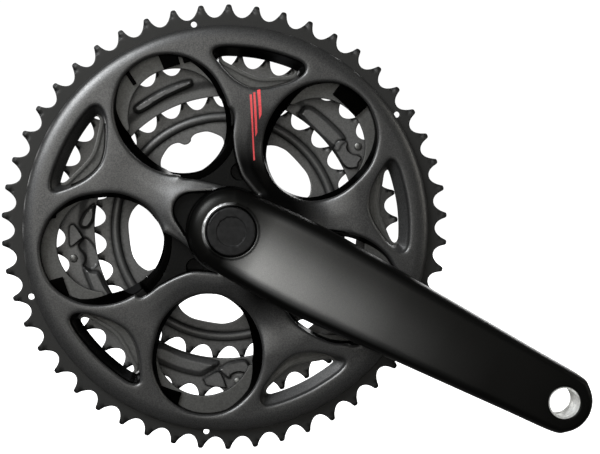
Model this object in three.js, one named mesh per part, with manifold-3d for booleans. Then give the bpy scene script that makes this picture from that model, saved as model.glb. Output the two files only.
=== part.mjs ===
import * as THREE from 'three';
import { LoftGeometry } from 'three/addons/geometries/LoftGeometry.js';
import { mergeVertices } from 'three/addons/utils/BufferGeometryUtils.js';
import Module from 'manifold-3d';

// Right-hand triple crankset. All sizes are in millimetres.
// The model is laid out flat, with z as the distance outboard of the hub's inboard face and the
// spindle axis on z, and is turned upright at the end, so that outboard is -Y and up is +Z.

const wasm = await Module();
wasm.setup();

// Driving dimensions

const CRANK_LENGTH = 170;
const ARM_ANGLE = degrees(-27.5);
const FIT_GAP = 0.3;
// Further from z = 0 than any part reaches
const BEYOND = 60;

const CHAIN_PITCH = 12.7;
const ROLLER_RADIUS = 3.97;
const TOOTH_HEIGHT = 5.9;
const TOOTH_TIP_HALF_WIDTH = 1.1;
const SEAT_SWINGS = [degrees(62), degrees(0), degrees(-62)];

const OUTER_RING = { teeth: 50, plane: 15, thickness: 2.4, inside: 64.4, firstTooth: degrees(3.5) };
const SCALLOP_RADIUS = 22.2;
const SCALLOP_CIRCLE = 56.6;
const MIDDLE_RING = { teeth: 39, plane: 8, thickness: 2, inside: 61.5, firstTooth: degrees(2.8) };
const INNER_RING = { teeth: 30, plane: 0, thickness: 2, inside: 46, firstTooth: degrees(1.1) };
const BEAD_PROFILE = [[50, 0], [54, 0], [53.1, 2.4], [50.9, 2.4], [50, 0]];
const MIDDLE_TAB = { length: 12, width: 12, centre: 57.2 };
const INNER_TAB = { length: 12, width: 22, centre: 41.5 };

const ARM_COUNT = 5;
const FIRST_ARM_ANGLE = degrees(6.5);
const WINDOW_PITCH_RADIUS = 57.7;
// The big windows are egg-shaped: their radius at even steps of direction, anticlockwise from outwards
const WINDOW_RADII = [28.4, 29.2, 28.2, 27, 26.6, 27.2, 27.7, 26.9, 24.8, 23.5, 24.8, 26.7];

// Sides of the many-sided solids that stand for round ones
const RIM_SIDES = 60;
const BEAD_SIDES = 40;
const HUB_SIDES = 32;
const WINDOW_SIDES = 28;
const LEAF_SIDES = 26;
const CAP_SIDES = 28;
const BOLT_SIDES = 20;
const POCKET_SIDES = 12;
const PIN_SIDES = 8;
const CURVE_SEGMENTS = 6;

// The leaf-shaped windows lie along x. Points on their outlines, anticlockwise from outwards
const COVER_LEAF = [
	[83.7, 0], [83, 10], [81.2, 19.5], [78.3, 23.3], [74.6, 20.8], [68.3, 12.2], [65.6, 4], [66.2, -2],
	[68.8, -8.5], [73, -15.8], [77.6, -19.7], [81.2, -18.4], [83, -11],
];
const RING_LEAF = [
	[81, 0], [80.4, 9.5], [79, 15.5], [77.5, 18.5], [75.5, 17.4], [74, 12.5], [72.4, 7], [71.4, 1],
	[72, -4], [73.4, -9], [74.8, -13.5], [76.2, -15.5], [78.2, -15], [80.2, -9],
];
const SPIDER_LEAF_OUTSIDE = 81;

const SPIDER_BACK = 16.5;
const SPIDER_FRONT = 19.2;
const SPIDER_RADIUS = 91;
const SPIDER_BORE_RADIUS = 17.3;
const SPIDER_HUB_RADIUS = 26;
const RIB_WIDTH = 11;
const RIB_BACK = 9.3;
const RIB_END_RADIUS = 63.5;

const COVER_RADIUS = 93.4;
const COVER_PROFILE = [
	[0, 29.2], [24, 29], [36, 26.4], [52, 23.9], [86, 22.2], [COVER_RADIUS, 18.8],
];

const CRADLE_HALF_WIDTH = 21.4;
const CRADLE_END = 76;
const CRADLE_FLOOR = 21.5;
const CRADLE_RIM_FLOOR = 24;
// The rounded end's upper side, as a curve handle and its end, twice; the lower side mirrors it
const CRADLE_CURVE_START = 30;
const CRADLE_CURVE = [[4, 20], [-12, 14.4], [-28.5, 8.4], [-28.5, 0]];
const NOTCH_OUTLINES = [
	[[-24, 30], [-22.2, 24.6], [-10.8, 22.2], [1.4, 19.3], [12, 15], [7.9, 21], [4.4, 26.8], [2, 40],
		[0.7, 55.5], [-20, 55]],
	[[-33, -1], [-24.5, -3.3], [-16.1, -10.4], [-6.9, -16.6], [-3, -20.4], [-11, -18.5], [-17.9, -18.1],
		[-25.5, -21.2], [-33, -25.2], [-45, -30]],
];
const NOTCH_POCKETS = [[5, 26.6], [-15.6, -17.3]];
const NOTCH_POCKET_RADIUS = 4;
const NOTCH_POCKET_FLOOR = 16;

const HUB_LENGTH = 34.6;
const HUB_SHOULDER_RADIUS = 19.5;
const HUB_REAR_RADIUS = 17;
const HUB_PROFILE = [
	[0, 0], [16.2, 0], [HUB_REAR_RADIUS, 0.8], [HUB_REAR_RADIUS, SPIDER_FRONT + FIT_GAP],
	[HUB_SHOULDER_RADIUS, SPIDER_FRONT + FIT_GAP], [HUB_SHOULDER_RADIUS, 25], [18.2, 30], [15.2, 33.4],
	[13.4, HUB_LENGTH], [0, HUB_LENGTH],
];
const CAP_BORE_RADIUS = 11.2;
const CAP_BORE_FLOOR = 18;
const SOCKET_WIDE = 12.7;
const SOCKET_NARROW = 11.5;
const PEDAL_HOLE_RADIUS = 7;

// Crank arm stations: distance from the spindle axis, inboard height, outboard height,
// half width at the inboard side and half width at the outboard side
const ARM_STATIONS = [
	[-12, 22, 32, 13, 8],
	[0, 22, 34, 18.5, 12.4],
	[12, 22, 34.6, 20.2, 13.2],
	[25, 22.6, 35.2, 20.9, 13.6],
	[42, 24.3, 36.2, 21, 13.6],
	[62, 25.4, 37.5, 20.2, 13.2],
	[90, 27.2, 40.6, 18.8, 12.8],
	[125, 30, 44, 17, 12.2],
	[155, 32.8, 46.8, 15.4, 11.6],
	[170, 34.1, 47.8, 14.7, 11.2],
	[176, 34.3, 47.8, 13.2, 10],
	[180, 34.6, 47.6, 10.8, 7.8],
	[183.6, 35.2, 47, 6.4, 4.2],
];
const SECTION_POINTS = 20;
const SECTION_SQUARENESS = 0.55;

const EYE_RADIUS = 14.2;
const EYE_BACK = 34;
const EYE_FRONT = 48;

const WASHER_RADIUS = 9.5;
const WASHER_THICKNESS = 1.6;
const BOLT_HEAD_ACROSS_FLATS = 14;
const BOLT_HEAD_HEIGHT = 6;
const BOLT_FLANGE_HEIGHT = 1.6;
const BOLT_FLANGE_RADIUS = 8.6;
const BOLT_SHANK_RADIUS = 4;
const BOLT_SHANK_END = 8;
const CAP_RADIUS = 10.9;
const CAP_FRONT = 36;
const CAP_HEAD_HEIGHT = 3.2;
const CAP_SKIRT_DEPTH = 4;
const CAP_WALL = 1.5;
const CAP_DISC_RADIUS = 6.5;
const CAP_DISC_DEPTH = 0.4;
const CAP_NOTCH_ANGLE = degrees(142);
const CAP_NOTCH = { length: 3, width: 9, depth: 1.8 };
const EDGE_BEVEL = 0.6;

const RIVET_SHANK_RADIUS = 2.5;
const RIVET_HOLE_RADIUS = 2.8;
const RIVET_HEAD_RADIUS = 4.2;
const RIVET_HEAD_HEIGHT = 1.6;
const RIVET_END = 17.5;
const OUTER_RIVET_END = 19;
const RIVET_HOLE_END = 18;
const OUTER_RIVET_CIRCLE = 87.2;
const MIDDLE_RIVET_CIRCLE = 57.2;
const INNER_RIVET_CIRCLE = 41;
const SCREW_CIRCLE = 70;
const SCREW_OFFSET_ANGLE = degrees(14);
const SCREW_HEAD_RADIUS = 2.4;
const SCREW_HEAD_HEIGHT = 1.9;
const SCREW_SHANK_RADIUS = 1.4;
const SCREW_END = 21;
const SPACER_RADIUS = 5;

const SMALL_HOLE_CIRCLE = 95;
const SMALL_HOLE_RADIUS = 1.4;
const SMALL_HOLE_ANGLES = [degrees(33.9), degrees(99.4), degrees(198.6), degrees(263.6)];

const PIN_CIRCLE = 72.4;
const PIN_ANGLES = [degrees(31.7), degrees(190.7), degrees(273.6)];
const PIN_RADIUS = 1.9;
const PIN_FRONT = 9.9;
const PIN_HEAD_RADIUS = 2.9;
const PIN_HEAD_HEIGHT = 1.5;

// Materials

function metal(color, roughness) {
	return new THREE.MeshStandardMaterial({ color, roughness, metalness: 0.8 });
}

function plastic(color, roughness) {
	return new THREE.MeshStandardMaterial({ color, roughness, metalness: 0 });
}

const armBlack = metal(0x1e1e1f, 0.35);
const coverGraphite = plastic(0x3c3d3d, 0.4);
const spiderBlack = metal(0x262626, 0.45);
const ringGrey = metal(0x55564f, 0.55);
const rivetSteel = metal(0x8a8a88, 0.35);
const boltSteel = metal(0x9a9a9a, 0.3);
const capBlack = plastic(0x1c1c1c, 0.55);

// Small helpers

function degrees(value) {
	return value * Math.PI / 180;
}

function inDegrees(angle) {
	return angle * 180 / Math.PI;
}

function polar(radius, angle) {
	return new THREE.Vector2(radius * Math.cos(angle), radius * Math.sin(angle));
}

function armAngles(offset = 0) {
	const step = 2 * Math.PI / ARM_COUNT;
	return Array.from({ length: ARM_COUNT }, (_, index) => FIRST_ARM_ANGLE + index * step + offset);
}

// Solids: three.js geometry in, manifold solid out, and back

function solidOf(geometry) {
	const plain = new THREE.BufferGeometry().copy(geometry);
	plain.deleteAttribute('normal');
	plain.deleteAttribute('uv');
	const merged = mergeVertices(plain, 1e-4);
	const corners = merged.index.array;
	const kept = [];
	for (let i = 0; i < corners.length; i += 3) {
		const [a, b, c] = corners.slice(i, i + 3);
		if (a !== b && b !== c && c !== a) {
			kept.push(a, b, c);
		}
	}
	return new wasm.Manifold(new wasm.Mesh({
		numProp: 3,
		vertProperties: new Float32Array(merged.attributes.position.array),
		triVerts: new Uint32Array(kept),
	}));
}

function geometryOf(solid) {
	const mesh = solid.getMesh();
	const geometry = new THREE.BufferGeometry();
	geometry.setAttribute('position', new THREE.BufferAttribute(mesh.vertProperties, 3));
	geometry.setIndex(new THREE.BufferAttribute(mesh.triVerts, 1));
	geometry.computeVertexNormals();
	return geometry;
}

function plate(shape, from, to, curveSegments = 48) {
	const geometry = new THREE.ExtrudeGeometry(shape, {
		depth: to - from,
		bevelEnabled: false,
		curveSegments,
	});
	geometry.translate(0, 0, from);
	return solidOf(geometry);
}

function turned(profile, segments) {
	const points = profile.map(([radius, z]) => new THREE.Vector2(radius, z));
	const geometry = new THREE.LatheGeometry(points, segments);
	geometry.rotateX(Math.PI / 2);
	return solidOf(geometry);
}

function disc(radius, from, to, segments = 48, centre = new THREE.Vector2()) {
	const geometry = new THREE.CylinderGeometry(radius, radius, to - from, segments);
	geometry.rotateX(Math.PI / 2);
	geometry.translate(centre.x, centre.y, (from + to) / 2);
	return solidOf(geometry);
}

function bar(length, width, from, to, centreRadius, angle) {
	const geometry = new THREE.BoxGeometry(length, width, to - from);
	geometry.translate(centreRadius, 0, (from + to) / 2);
	geometry.rotateZ(angle);
	return solidOf(geometry);
}

function annulus(inside, outside, from, to, segments) {
	return disc(outside, from, to, segments).subtract(disc(inside, -BEYOND, BEYOND, segments));
}

function outlineFrom(points) {
	return new THREE.Shape(points.map(([x, y]) => new THREE.Vector2(x, y)));
}

// The five big windows and five leaf-shaped windows of the cover and the spider

function windowThrough(knots, sides, angle) {
	const points = knots.map(({ x, y }) => new THREE.Vector3(x, y, 0));
	const rim = new THREE.CatmullRomCurve3(points, true).getPoints(sides).slice(0, -1);
	const outline = new THREE.Shape(rim.map(({ x, y }) => new THREE.Vector2(x, y)));
	return plate(outline, -BEYOND, BEYOND).rotate([0, 0, inDegrees(angle)]);
}

function bigWindow(armAngle, margin) {
	const step = 2 * Math.PI / WINDOW_RADII.length;
	const centre = new THREE.Vector2(WINDOW_PITCH_RADIUS, 0);
	const knots = WINDOW_RADII.map((radius, index) => polar(radius + margin, index * step).add(centre));
	return windowThrough(knots, WINDOW_SIDES, armAngle + Math.PI / ARM_COUNT);
}

function leafWindow(armAngle, outline) {
	return windowThrough(outline.map(([x, y]) => new THREE.Vector2(x, y)), LEAF_SIDES, armAngle);
}

// Chainrings

function toothOutline({ teeth, firstTooth }) {
	const pitchRadius = CHAIN_PITCH / 2 / Math.sin(Math.PI / teeth);
	const tipRadius = pitchRadius - ROLLER_RADIUS + TOOTH_HEIGHT;
	const tipHalfAngle = TOOTH_TIP_HALF_WIDTH / tipRadius;
	const step = 2 * Math.PI / teeth;
	const points = [];
	for (let tooth = 0; tooth < teeth; tooth++) {
		const tipAngle = firstTooth + tooth * step;
		points.push(polar(tipRadius, tipAngle - tipHalfAngle));
		points.push(polar(tipRadius, tipAngle + tipHalfAngle));
		const seatAngle = tipAngle + step / 2;
		const seatCentre = polar(pitchRadius, seatAngle);
		for (const swing of SEAT_SWINGS) {
			points.push(polar(ROLLER_RADIUS, seatAngle + Math.PI + swing).add(seatCentre));
		}
	}
	return new THREE.Shape(points);
}

function ringBlank(ring) {
	const from = ring.plane - ring.thickness / 2;
	const to = ring.plane + ring.thickness / 2;
	const hole = disc(ring.inside, -BEYOND, BEYOND, RIM_SIDES);
	return plate(toothOutline(ring), from, to).subtract(hole);
}

function tabbedRing(ring, tab) {
	let result = ringBlank(ring);
	for (const angle of armAngles()) {
		const back = ringBack(ring);
		result = result.add(bar(tab.length, tab.width, back, back + ring.thickness, tab.centre, angle));
	}
	return result;
}

function drilled(solid, radius, circle, angles, to = BEYOND) {
	let result = solid;
	for (const angle of angles) {
		result = result.subtract(disc(radius, -BEYOND, to, PIN_SIDES, polar(circle, angle)));
	}
	return result;
}

function outerChainring() {
	let blank = ringBlank(OUTER_RING);
	for (const angle of armAngles()) {
		const scallop = polar(SCALLOP_CIRCLE, angle + Math.PI / ARM_COUNT);
		blank = blank.subtract(disc(SCALLOP_RADIUS, -BEYOND, BEYOND, WINDOW_SIDES, scallop));
		blank = blank.subtract(leafWindow(angle, RING_LEAF));
	}
	blank = drilled(blank, RIVET_HOLE_RADIUS, OUTER_RIVET_CIRCLE, armAngles());
	blank = drilled(blank, SCREW_HEAD_RADIUS + FIT_GAP, SCREW_CIRCLE, armAngles(SCREW_OFFSET_ANGLE));
	return drilled(blank, SMALL_HOLE_RADIUS, SMALL_HOLE_CIRCLE, SMALL_HOLE_ANGLES);
}

function middleChainring() {
	const ring = tabbedRing(MIDDLE_RING, MIDDLE_TAB);
	const riveted = drilled(ring, RIVET_HOLE_RADIUS, MIDDLE_RIVET_CIRCLE, armAngles());
	return drilled(riveted, PIN_RADIUS + FIT_GAP, PIN_CIRCLE, PIN_ANGLES);
}

function innerChainring() {
	const ring = tabbedRing(INNER_RING, INNER_TAB).add(turned(BEAD_PROFILE, BEAD_SIDES));
	return drilled(ring, RIVET_HOLE_RADIUS, INNER_RIVET_CIRCLE, armAngles());
}

// Spider: a flat five-armed plate with stiffening ribs behind its arms

function spider() {
	let body = disc(SPIDER_RADIUS, SPIDER_BACK, SPIDER_FRONT, RIM_SIDES);
	for (const angle of armAngles()) {
		body = body.subtract(bigWindow(angle, FIT_GAP));
		body = body.subtract(leafWindow(angle, COVER_LEAF));
	}
	body = body.add(annulus(SPIDER_LEAF_OUTSIDE, SPIDER_RADIUS, SPIDER_BACK, SPIDER_FRONT, RIM_SIDES));
	body = body.add(disc(SPIDER_HUB_RADIUS, RIB_BACK, SPIDER_FRONT, HUB_SIDES));
	const ribLength = RIB_END_RADIUS - SPIDER_BORE_RADIUS;
	const ribCentre = SPIDER_BORE_RADIUS + ribLength / 2;
	for (const angle of armAngles()) {
		body = body.add(bar(ribLength, RIB_WIDTH, RIB_BACK, SPIDER_BACK + 1, ribCentre, angle));
	}
	body = body.subtract(disc(SPIDER_BORE_RADIUS, -BEYOND, BEYOND, HUB_SIDES));
	body = drilled(body, RIVET_HOLE_RADIUS, OUTER_RIVET_CIRCLE, armAngles());
	body = drilled(body, RIVET_HOLE_RADIUS, MIDDLE_RIVET_CIRCLE, armAngles(), RIVET_HOLE_END);
	body = drilled(body, RIVET_HOLE_RADIUS, INNER_RIVET_CIRCLE, armAngles(), RIVET_HOLE_END);
	body = drilled(body, SCREW_SHANK_RADIUS + FIT_GAP, SCREW_CIRCLE, armAngles(SCREW_OFFSET_ANGLE));
	for (const [x, y] of NOTCH_POCKETS) {
		const centre = new THREE.Vector2(x, y);
		body = body.subtract(disc(NOTCH_POCKET_RADIUS, NOTCH_POCKET_FLOOR, BEYOND, POCKET_SIDES, centre));
	}
	return body;
}

// Front cover: crowned shell, open where the windows are, with a cradle for the crank arm

function coverCradle() {
	const half = CRADLE_HALF_WIDTH;
	const [shoulder, side, corner, nose] = CRADLE_CURVE;
	const outline = new THREE.Shape();
	outline.moveTo(CRADLE_END, -half);
	outline.lineTo(CRADLE_END, half);
	outline.lineTo(CRADLE_CURVE_START, half);
	outline.quadraticCurveTo(...shoulder, ...side);
	outline.quadraticCurveTo(...corner, ...nose);
	outline.quadraticCurveTo(corner[0], -corner[1], side[0], -side[1]);
	outline.quadraticCurveTo(shoulder[0], -shoulder[1], CRADLE_CURVE_START, -half);
	const rounded = plate(outline, CRADLE_RIM_FLOOR, BEYOND, CURVE_SEGMENTS)
		.rotate([0, 0, inDegrees(ARM_ANGLE)]);
	return rounded.add(bar(CRADLE_END, 2 * half, CRADLE_FLOOR, BEYOND, CRADLE_END / 2, ARM_ANGLE));
}

function frontCover() {
	const crown = [...COVER_PROFILE].reverse();
	let cover = turned([[0, SPIDER_BACK], [COVER_RADIUS, SPIDER_BACK], ...crown], RIM_SIDES);
	cover = cover.subtract(disc(SPIDER_RADIUS + FIT_GAP, -BEYOND, SPIDER_FRONT + FIT_GAP, RIM_SIDES));
	for (const angle of armAngles()) {
		cover = cover.subtract(bigWindow(angle, 0));
		cover = cover.subtract(leafWindow(angle, COVER_LEAF));
	}
	cover = cover.subtract(disc(HUB_SHOULDER_RADIUS + 2 * FIT_GAP, -BEYOND, BEYOND, HUB_SIDES));
	cover = cover.subtract(coverCradle());
	for (const outline of NOTCH_OUTLINES) {
		cover = cover.subtract(plate(outlineFrom(outline), -BEYOND, BEYOND));
	}
	const screwHoles = armAngles(SCREW_OFFSET_ANGLE);
	return drilled(cover, SCREW_SHANK_RADIUS + FIT_GAP, SCREW_CIRCLE, screwHoles, SCREW_END + FIT_GAP);
}

// Crank arm: a lofted bar with a turned hub at one end and a pedal eye at the other

function armSection({ along, bottom, top, halfBottom, halfTop }) {
	const points = [];
	for (let i = 0; i < SECTION_POINTS; i++) {
		const angle = i / SECTION_POINTS * 2 * Math.PI;
		const across = squared(Math.cos(angle));
		const height = (squared(Math.sin(angle)) + 1) / 2;
		const half = THREE.MathUtils.lerp(halfBottom, halfTop, height);
		points.push(new THREE.Vector3(along, across * half, THREE.MathUtils.lerp(bottom, top, height)));
	}
	return points;
}

function squared(value) {
	return Math.sign(value) * Math.abs(value) ** SECTION_SQUARENESS;
}

function squareSocket() {
	const corner = Math.SQRT1_2;
	const height = CAP_BORE_FLOOR + 1;
	const geometry = new THREE.CylinderGeometry(SOCKET_NARROW * corner, SOCKET_WIDE * corner, height, 4);
	geometry.rotateX(Math.PI / 2);
	geometry.translate(0, 0, height / 2 - 0.5);
	geometry.rotateZ(ARM_ANGLE + Math.PI / 4);
	return solidOf(geometry);
}

function crankArm() {
	const sections = ARM_STATIONS.map(([along, bottom, top, halfBottom, halfTop]) =>
		armSection({ along, bottom, top, halfBottom, halfTop }));
	const forging = new LoftGeometry(sections, { capStart: true, capEnd: true });
	forging.rotateZ(ARM_ANGLE);
	const eyeCentre = polar(CRANK_LENGTH, ARM_ANGLE);
	return solidOf(forging)
		.add(turned(HUB_PROFILE, HUB_SIDES))
		.add(disc(EYE_RADIUS, EYE_BACK, EYE_FRONT, CAP_SIDES, eyeCentre))
		.subtract(disc(CAP_BORE_RADIUS, CAP_BORE_FLOOR, BEYOND, CAP_SIDES))
		.subtract(squareSocket())
		.subtract(disc(PEDAL_HOLE_RADIUS, -BEYOND, BEYOND, BOLT_SIDES, eyeCentre));
}

// Hub hardware

function boltWasher() {
	const from = CAP_BORE_FLOOR + FIT_GAP;
	return annulus(BOLT_SHANK_RADIUS + FIT_GAP, WASHER_RADIUS, from, from + WASHER_THICKNESS, BOLT_SIDES);
}

function crankBolt() {
	const seat = CAP_BORE_FLOOR + WASHER_THICKNESS + 2 * FIT_GAP;
	const flangeTop = seat + BOLT_FLANGE_HEIGHT;
	const hexRadius = BOLT_HEAD_ACROSS_FLATS / Math.sqrt(3);
	const shank = turned([
		[0, BOLT_SHANK_END], [BOLT_SHANK_RADIUS - EDGE_BEVEL, BOLT_SHANK_END],
		[BOLT_SHANK_RADIUS, BOLT_SHANK_END + EDGE_BEVEL], [BOLT_SHANK_RADIUS, seat],
		[BOLT_FLANGE_RADIUS, seat], [BOLT_FLANGE_RADIUS, flangeTop - EDGE_BEVEL],
		[BOLT_FLANGE_RADIUS - 2 * EDGE_BEVEL, flangeTop], [0, flangeTop],
	], BOLT_SIDES);
	return shank.add(disc(hexRadius, flangeTop - EDGE_BEVEL, flangeTop + BOLT_HEAD_HEIGHT, 6));
}

function dustCap() {
	const headBack = CAP_FRONT - CAP_HEAD_HEIGHT;
	const skirtInside = CAP_RADIUS - CAP_WALL;
	const discFront = CAP_FRONT - CAP_DISC_DEPTH;
	const body = turned([
		[0, headBack], [skirtInside, headBack], [skirtInside, headBack - CAP_SKIRT_DEPTH],
		[CAP_RADIUS, headBack - CAP_SKIRT_DEPTH], [CAP_RADIUS, CAP_FRONT - EDGE_BEVEL],
		[CAP_RADIUS - EDGE_BEVEL, CAP_FRONT], [CAP_DISC_RADIUS + FIT_GAP, CAP_FRONT],
		[CAP_DISC_RADIUS, discFront], [0, discFront],
	], CAP_SIDES);
	const { length, width, depth } = CAP_NOTCH;
	const notchCentre = CAP_RADIUS - CAP_DISC_DEPTH + length / 2 - EDGE_BEVEL;
	return body.subtract(bar(length, width, CAP_FRONT - depth, BEYOND, notchCentre, CAP_NOTCH_ANGLE));
}

// Rivets, spacers, screws and pins: each is turned about its own axis and put in place by its mesh

function headedPin(headRadius, shankRadius, headBack, headFront, end) {
	return turned([
		[0, headBack], [headRadius, headBack], [headRadius, headFront],
		[shankRadius, headFront], [shankRadius, end], [0, end],
	], PIN_SIDES);
}

function rivet(ringBack, end) {
	const headFront = ringBack - FIT_GAP;
	return headedPin(RIVET_HEAD_RADIUS, RIVET_SHANK_RADIUS, headFront - RIVET_HEAD_HEIGHT, headFront, end);
}

function ringBack(ring) {
	return ring.plane - ring.thickness / 2;
}

function innerSpacer() {
	const from = INNER_RING.plane + INNER_RING.thickness / 2 + FIT_GAP;
	return annulus(RIVET_HOLE_RADIUS, SPACER_RADIUS, from, RIB_BACK - FIT_GAP, PIN_SIDES);
}

function coverScrew() {
	const headFront = SPIDER_BACK - FIT_GAP;
	const headBack = headFront - SCREW_HEAD_HEIGHT;
	return headedPin(SCREW_HEAD_RADIUS, SCREW_SHANK_RADIUS, headBack, headFront, SCREW_END);
}

function shiftPin() {
	const headFront = ringBack(MIDDLE_RING) - FIT_GAP;
	return headedPin(PIN_HEAD_RADIUS, PIN_RADIUS, headFront - PIN_HEAD_HEIGHT, headFront, PIN_FRONT);
}

// Assembly

const layout = new THREE.Group();

function place(name, solid, material, at = new THREE.Vector2()) {
	const mesh = new THREE.Mesh(geometryOf(solid), material);
	mesh.name = name;
	mesh.position.set(at.x, at.y, 0);
	layout.add(mesh);
}

function placeOnCircle(name, solid, material, circle, angles) {
	angles.forEach((angle, index) => place(`${name}_${index + 1}`, solid, material, polar(circle, angle)));
}

place('crank_arm', crankArm(), armBlack);
place('spider', spider(), spiderBlack);
place('front_cover', frontCover(), coverGraphite);
place('outer_chainring', outerChainring(), ringGrey);
place('middle_chainring', middleChainring(), ringGrey);
place('inner_chainring', innerChainring(), ringGrey);
place('bolt_washer', boltWasher(), boltSteel);
place('crank_bolt', crankBolt(), boltSteel);
place('dust_cap', dustCap(), capBlack);

function placeRivets(name, ring, end, circle) {
	placeOnCircle(name, rivet(ringBack(ring), end), rivetSteel, circle, armAngles());
}

placeRivets('outer_rivet', OUTER_RING, OUTER_RIVET_END, OUTER_RIVET_CIRCLE);
placeRivets('middle_rivet', MIDDLE_RING, RIVET_END, MIDDLE_RIVET_CIRCLE);
placeRivets('inner_rivet', INNER_RING, RIVET_END, INNER_RIVET_CIRCLE);
placeOnCircle('inner_spacer', innerSpacer(), spiderBlack, INNER_RIVET_CIRCLE, armAngles());

placeOnCircle('cover_screw', coverScrew(), boltSteel, SCREW_CIRCLE, armAngles(SCREW_OFFSET_ANGLE));
placeOnCircle('shift_pin', shiftPin(), rivetSteel, PIN_CIRCLE, PIN_ANGLES);

const crankset = new THREE.Group();
layout.rotation.x = Math.PI / 2;
crankset.add(layout);

export default crankset;
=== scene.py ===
import math

import bpy
import numpy as np
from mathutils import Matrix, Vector
from mathutils.geometry import delaunay_2d_cdt


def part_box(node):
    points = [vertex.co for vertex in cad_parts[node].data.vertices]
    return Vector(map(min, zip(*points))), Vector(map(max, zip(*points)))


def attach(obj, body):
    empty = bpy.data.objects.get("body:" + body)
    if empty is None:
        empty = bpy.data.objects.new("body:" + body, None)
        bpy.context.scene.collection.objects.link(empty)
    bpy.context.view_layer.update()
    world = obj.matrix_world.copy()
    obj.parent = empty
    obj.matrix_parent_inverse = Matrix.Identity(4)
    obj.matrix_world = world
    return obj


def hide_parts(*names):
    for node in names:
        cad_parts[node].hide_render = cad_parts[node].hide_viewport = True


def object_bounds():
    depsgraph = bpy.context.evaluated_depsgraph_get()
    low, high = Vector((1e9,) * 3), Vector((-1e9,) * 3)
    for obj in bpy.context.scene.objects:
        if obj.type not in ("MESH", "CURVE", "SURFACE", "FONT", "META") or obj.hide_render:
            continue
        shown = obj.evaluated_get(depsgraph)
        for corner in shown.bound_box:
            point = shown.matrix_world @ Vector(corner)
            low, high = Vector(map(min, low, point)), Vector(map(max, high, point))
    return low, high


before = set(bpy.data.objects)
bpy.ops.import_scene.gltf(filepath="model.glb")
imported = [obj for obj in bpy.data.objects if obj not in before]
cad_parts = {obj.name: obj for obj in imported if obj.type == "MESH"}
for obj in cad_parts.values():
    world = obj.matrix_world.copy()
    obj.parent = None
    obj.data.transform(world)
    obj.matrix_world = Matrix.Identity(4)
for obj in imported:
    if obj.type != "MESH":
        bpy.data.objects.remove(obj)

# The looks of a right-hand triple crankset, built round its CAD frame.
# Shapes are laid out flat in millimetres. A point in the plane of the rings is a complex number, with the
# real part to the right and the imaginary part up. Its height is measured outboard of the hub's inboard
# face, which is -Y in the frame.

CAD_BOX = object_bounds()
MM = 0.001
ROOT_BODY = "crankset"


def degrees(value):
    return value * math.pi / 180


def heights_of(node):
    """Height of the back and the front of a CAD node."""
    low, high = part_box(node)
    return -high.y / MM, -low.y / MM


def centre_of(node):
    """Centre of a CAD node in the plane of the rings."""
    low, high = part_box(node)
    return complex(low.x + high.x, low.z + high.z) / 2 / MM


# Driving dimensions

ARM_COUNT = 5
FIRST_ARM_ANGLE = math.atan2(centre_of("outer_rivet_1").imag, centre_of("outer_rivet_1").real)
ARM_ANGLES = FIRST_ARM_ANGLE + np.arange(ARM_COUNT) * 2 * np.pi / ARM_COUNT
WINDOW_ANGLES = ARM_ANGLES + np.pi / ARM_COUNT
CRANK_ANGLE = degrees(-27.5)
CRANK_LENGTH = 170

CHAIN_PITCH = 12.7
# One tooth, from the valley on its clockwise side: distance round the pitch circle, distance outside it
TOOTH_PROFILE = [
    (-6.35, -3.97), (-4.67, -3.6), (-3.35, -2.6), (-2.4, -1.2), (-1.85, 0.2), (-1.6, 1.2), (-1.25, 1.8),
    (-0.6, 2.0), (0.2, 1.95), (0.75, 1.6), (1.15, 0.7), (1.8, -0.6), (2.75, -2.0), (3.7, -2.95),
    (4.85, -3.65),
]
OUTER_TEETH = {"teeth": 50, "first": degrees(3.5)}
MIDDLE_TEETH = {"teeth": 39, "first": degrees(2.8)}
INNER_TEETH = {"teeth": 30, "first": degrees(1.1)}

WINDOW_CIRCLE = 57.7
# The big windows are egg-shaped. Their radius, and how far the wall leans in on its way to the back, at even
# steps of direction round the window's centre, anticlockwise from outwards
WINDOW_RADII = [28.4, 29.2, 28.2, 27, 26.6, 27.2, 27.7, 26.9, 24.8, 23.5, 24.8, 26.7]
WINDOW_LEAN = [0, 0, 1.0, 4.3, 3.6, 1.5, 0.4, 1.4, 2.2, 2.1, 1.8, 0.4]
# The leaf-shaped windows of the cover and the openings behind them in the outer ring, along the real axis
COVER_LEAF = np.array([
    83.7, 83 + 10j, 81.2 + 19.5j, 78.3 + 23.3j, 74.6 + 20.8j, 68.3 + 12.2j, 65.6 + 4j, 66.2 - 2j,
    68.8 - 8.5j, 73 - 15.8j, 77.6 - 19.7j, 81.2 - 18.4j, 83 - 11j,
])
RING_LEAF = np.array([
    81, 80.4 + 9.5j, 79 + 15.5j, 77.5 + 18.5j, 75.5 + 17.4j, 74 + 12.5j, 72.4 + 7j, 71.4 + 1j,
    72 - 4j, 73.4 - 9j, 74.8 - 13.5j, 76.2 - 15.5j, 78.2 - 15j, 80.2 - 9j,
])
SCALLOP_CIRCLE = 56.6
SCALLOP_RADIUS = 22.2
RING_INSIDE = 64.4

COVER_RADIUS = 93.4
CROWN_RADII = [0, 24, 36, 52, 86, 94]
CROWN_HEIGHTS = [29.4, 29, 26.4, 23.9, 22.3, 22.0]
HUB_OPENING = 20.1
CRADLE_FLOOR = 21.5
POCKET_FLOOR = 24


# Outlines: closed loops of points in the plane

def polar(radius, angle):
    return radius * np.exp(1j * np.asarray(angle))


def spaced_evenly(loop, spacing):
    """The same closed loop with its points about that far apart."""
    closed = np.append(loop, loop[0])
    run = np.append(0, np.cumsum(abs(np.diff(closed))))
    at = np.linspace(0, run[-1], max(8, round(run[-1] / spacing)), endpoint=False)
    return np.interp(at, run, closed.real) + 1j * np.interp(at, run, closed.imag)


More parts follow.
